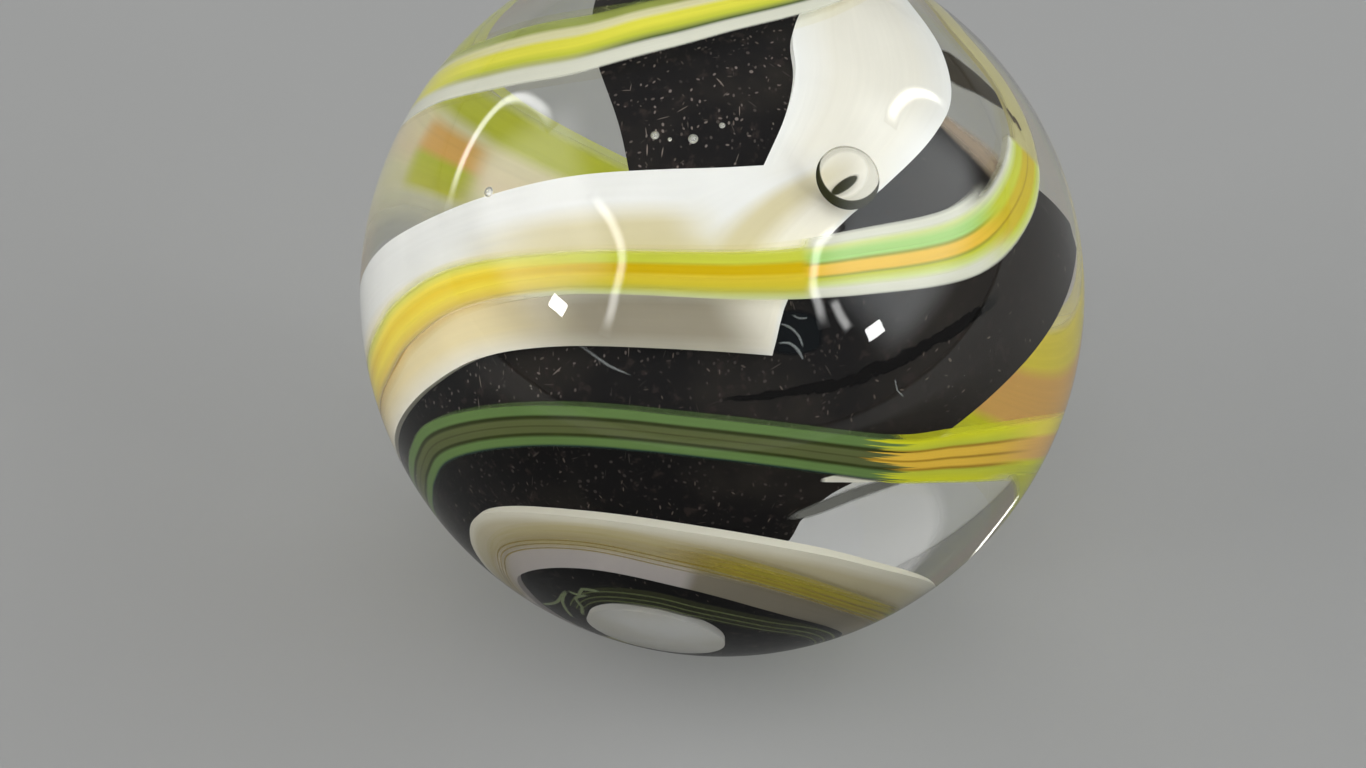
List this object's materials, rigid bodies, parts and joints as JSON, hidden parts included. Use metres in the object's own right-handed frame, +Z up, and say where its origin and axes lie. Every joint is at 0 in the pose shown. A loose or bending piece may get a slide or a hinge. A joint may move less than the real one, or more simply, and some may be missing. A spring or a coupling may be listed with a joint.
{
  "type": "glass marble",
  "caption": "Clear glass ball with a white and a black ribbon and bands of coloured stripes twisted inside it, to play with, to collect or to show on a stand.",
  "frame": {"origin": "centre of the ball", "axes": "+Z up and -Y towards the viewer as the marble sits on its stand, with the twist axis leaning back from +Z"},
  "size_m": [0.025, 0.025, 0.025],
  "materials": {
    "clear_glass": "clear, fire polished",
    "white_glass": "opaque, inside the clear glass",
    "black_glass": "opaque, with fine glitter",
    "amber_glass": "opaque stripes",
    "lime_glass": "translucent stripes",
    "cream_glass": "opaque stripes",
    "green_glass": "translucent stripes",
    "yellow_glass": "opaque stripes",
    "pale_green_glass": "translucent stripes"
  },
  "bodies": {
    "root": {"clear_glass": "clear_glass", "white_ribbon": "white_glass", "black_ribbon": "black_glass", "pole_patch": "white_glass", "amber_band_middle": "amber_glass", "amber_band_green_pair": "lime_glass", "amber_band_white_pair": "cream_glass", "green_band_upper": "green_glass", "green_band_middle": "yellow_glass", "green_band_lower": "pale_green_glass"}
  },
  "joints": []
}
